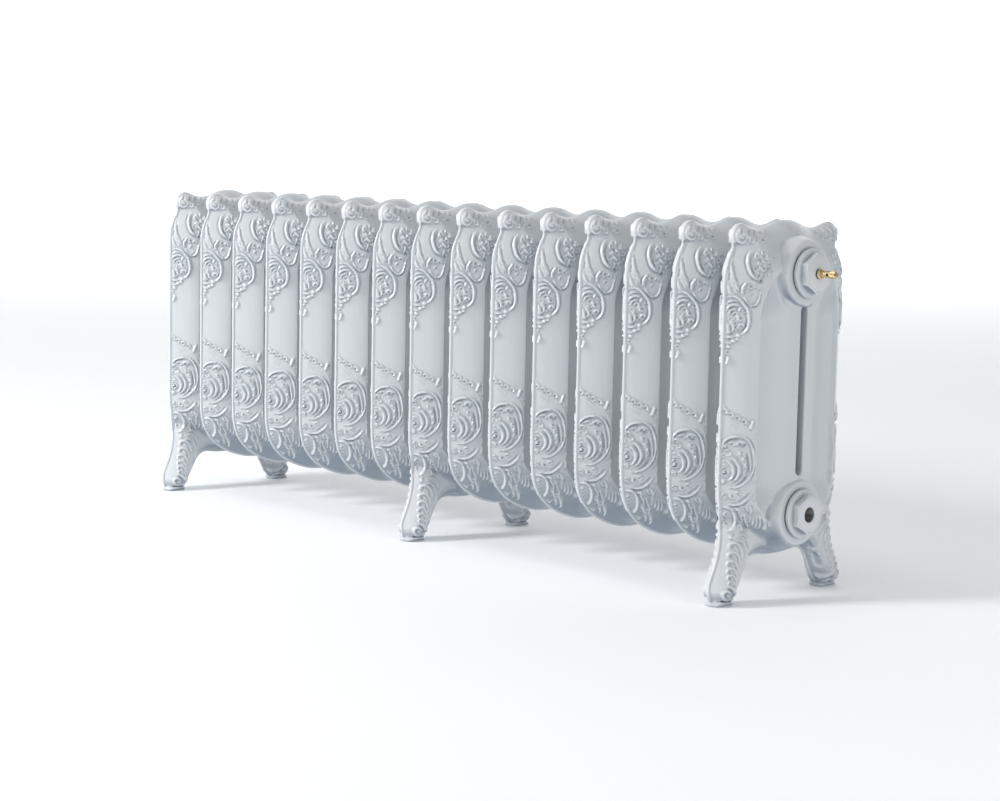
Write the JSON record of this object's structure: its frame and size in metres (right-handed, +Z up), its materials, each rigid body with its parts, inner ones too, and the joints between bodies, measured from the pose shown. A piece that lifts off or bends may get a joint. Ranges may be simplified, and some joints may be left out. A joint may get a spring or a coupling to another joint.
{
  "type": "cast iron radiator",
  "caption": "Ornate two-column cast iron column radiator on splayed feet, joined by nipples, with end plugs, valve bushes and a screw-down air vent.",
  "frame": {"origin": "centre of the whole object's footprint, on the floor plane under the feet", "axes": "+X along the row of sections towards the end with the air vent, +Y from the front face to the rear face, +Z up"},
  "size_m": [1.2576, 0.247, 0.47],
  "materials": {
    "white_enamel": "glossy cool white enamel over cast iron",
    "bare_iron": "bare machined iron",
    "graphite_gasket": "matt dark gasket sheet",
    "brass": "turned brass, slightly dulled"
  },
  "bodies": {
    "radiator": {"section_01": "white_enamel", "section_02": "white_enamel", "section_03": "white_enamel", "section_04": "white_enamel", "section_05": "white_enamel", "section_06": "white_enamel", "section_07": "white_enamel", "section_08": "white_enamel", "section_09": "white_enamel", "section_10": "white_enamel", "section_11": "white_enamel", "section_12": "white_enamel", "section_13": "white_enamel", "section_14": "white_enamel", "section_15": "white_enamel", "top_nipple_01": "bare_iron", "top_nipple_02": "bare_iron", "top_nipple_03": "bare_iron", "top_nipple_04": "bare_iron", "top_nipple_05": "bare_iron", "top_nipple_06": "bare_iron", "top_nipple_07": "bare_iron", "top_nipple_08": "bare_iron", "top_nipple_09": "bare_iron", "top_nipple_10": "bare_iron", "top_nipple_11": "bare_iron", "top_nipple_12": "bare_iron", "top_nipple_13": "bare_iron", "top_nipple_14": "bare_iron", "bottom_nipple_01": "bare_iron", "bottom_nipple_02": "bare_iron", "bottom_nipple_03": "bare_iron", "bottom_nipple_04": "bare_iron", "bottom_nipple_05": "bare_iron", "bottom_nipple_06": "bare_iron", "bottom_nipple_07": "bare_iron", "bottom_nipple_08": "bare_iron", "bottom_nipple_09": "bare_iron", "bottom_nipple_10": "bare_iron", "bottom_nipple_11": "bare_iron", "bottom_nipple_12": "bare_iron", "bottom_nipple_13": "bare_iron", "bottom_nipple_14": "bare_iron", "top_gasket_left": "graphite_gasket", "bottom_gasket_left": "graphite_gasket", "top_gasket_right": "graphite_gasket", "bottom_gasket_right": "graphite_gasket", "valve_bush_left": "white_enamel", "valve_bush_right": "white_enamel", "blank_plug": "white_enamel", "air_vent_plug": "white_enamel", "vent_washer": "graphite_gasket", "vent_body": "brass"},
    "needle": {"vent_needle": "brass"},
    "knob": {"vent_knob": "brass"}
  },
  "joints": [
    {"name": "needle_travel", "type": "slide", "parent": "radiator", "child": "needle", "axis": [1, 0, 0], "range_m": [0, 0.00151]},
    {"name": "knob_turn", "type": "hinge", "parent": "needle", "child": "knob", "pos_m": [0.61, 0, 0.4055], "axis": [1, 0, 0], "range_deg": [0, 540]}
  ],
  "couplings": [
    {"joint": "needle_travel", "follows": "knob_turn", "m_per_rad": 0.00015915}
  ]
}
